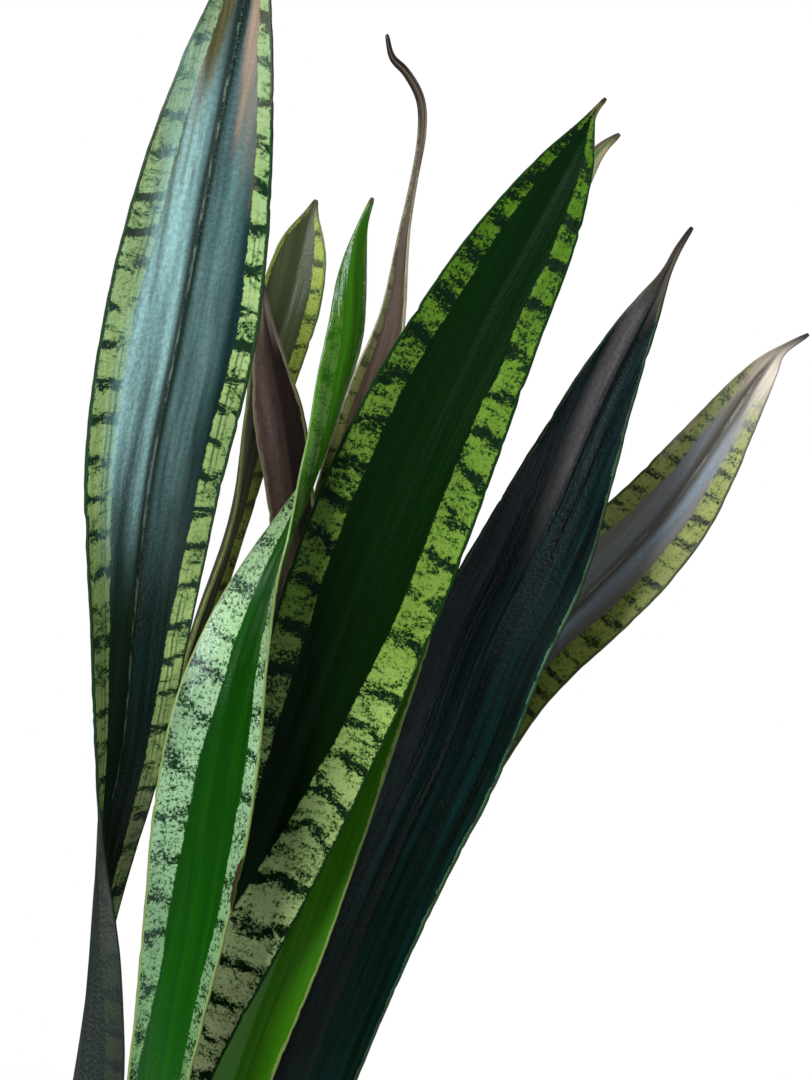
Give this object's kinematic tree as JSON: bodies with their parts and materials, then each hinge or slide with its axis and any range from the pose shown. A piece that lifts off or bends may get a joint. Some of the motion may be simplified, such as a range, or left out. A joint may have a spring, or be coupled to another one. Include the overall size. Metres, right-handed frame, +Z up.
{
  "type": "potted snake plant",
  "caption": "Snake plant with tall, twisting sword-shaped leaves, dark green with mottled pale margins, standing in soil in a plain round clay pot.",
  "frame": {"origin": "centre of the pot's foot, on the surface it stands on", "axes": "+Z up, -Y the side the plant faces, +X to the right of someone looking at that side"},
  "size_m": [0.2886, 0.1812, 0.7153],
  "materials": {
    "clay": "matte",
    "potting_mix": "matte",
    "leaf_left": "satin",
    "leaf_front": "satin",
    "leaf_centre": "satin",
    "leaf_behind_centre": "satin",
    "leaf_right": "satin",
    "leaf_far_right": "satin",
    "leaf_back_whip": "satin",
    "leaf_back_left": "satin",
    "leaf_back_middle": "satin"
  },
  "bodies": {
    "root": {"pot": "clay", "soil": "potting_mix", "leaf_left": "leaf_left", "leaf_front": "leaf_front", "leaf_centre": "leaf_centre", "leaf_behind_centre": "leaf_behind_centre", "leaf_right": "leaf_right", "leaf_far_right": "leaf_far_right", "leaf_back_whip": "leaf_back_whip", "leaf_back_left": "leaf_back_left", "leaf_back_middle": "leaf_back_middle"}
  },
  "joints": []
}
